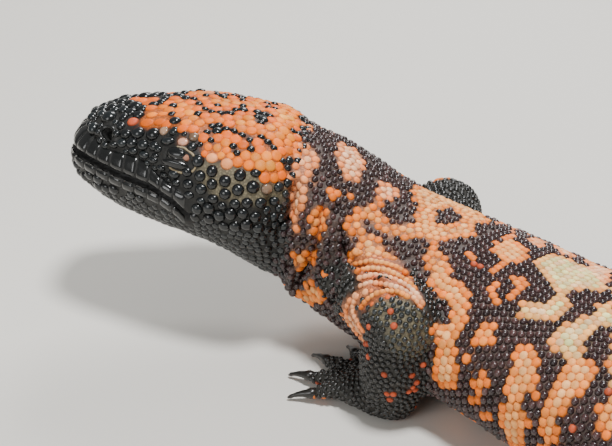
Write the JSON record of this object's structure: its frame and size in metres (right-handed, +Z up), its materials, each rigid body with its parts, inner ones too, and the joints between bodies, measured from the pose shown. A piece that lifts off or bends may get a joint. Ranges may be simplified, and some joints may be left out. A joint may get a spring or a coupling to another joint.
{
  "type": "gila monster",
  "caption": "Life-size still model of a beaded desert lizard resting on its belly, chest raised on its forelegs, head lifted and turned, with a short fat tail.",
  "frame": {"origin": "on the floor, in the middle of the flat on which the belly rests", "axes": "+X runs towards the tail, +Y towards the animal's right side, +Z up"},
  "size_m": [0.3845, 0.2458, 0.0681],
  "materials": {
    "beaded_skin": "bead-like scales, glossy black brown with orange and pale pink reticulation",
    "eye": "wet gloss, near black",
    "claw": "dark horn, satin"
  },
  "bodies": {
    "root": {"head": "beaded_skin", "jaw": "beaded_skin", "eye_left": "eye", "eye_right": "eye", "neck": "beaded_skin", "torso_front": "beaded_skin", "torso_middle": "beaded_skin", "torso_rear": "beaded_skin", "tail_base": "beaded_skin", "tail_middle": "beaded_skin", "tail_tip": "beaded_skin", "upper_arm_left": "beaded_skin", "forearm_left": "beaded_skin", "hand_left": "beaded_skin", "upper_arm_right": "beaded_skin", "forearm_right": "beaded_skin", "hand_right": "beaded_skin", "thigh_left": "beaded_skin", "shin_left": "beaded_skin", "foot_left": "beaded_skin", "thigh_right": "beaded_skin", "shin_right": "beaded_skin", "foot_right": "beaded_skin", "claw_fore_left_1": "claw", "claw_fore_left_2": "claw", "claw_fore_left_3": "claw", "claw_fore_left_4": "claw", "claw_fore_left_5": "claw", "claw_fore_right_1": "claw", "claw_fore_right_2": "claw", "claw_fore_right_3": "claw", "claw_fore_right_4": "claw", "claw_fore_right_5": "claw", "claw_hind_left_1": "claw", "claw_hind_left_2": "claw", "claw_hind_left_3": "claw", "claw_hind_left_4": "claw", "claw_hind_left_5": "claw", "claw_hind_right_1": "claw", "claw_hind_right_2": "claw", "claw_hind_right_3": "claw", "claw_hind_right_4": "claw", "claw_hind_right_5": "claw"}
  },
  "joints": []
}
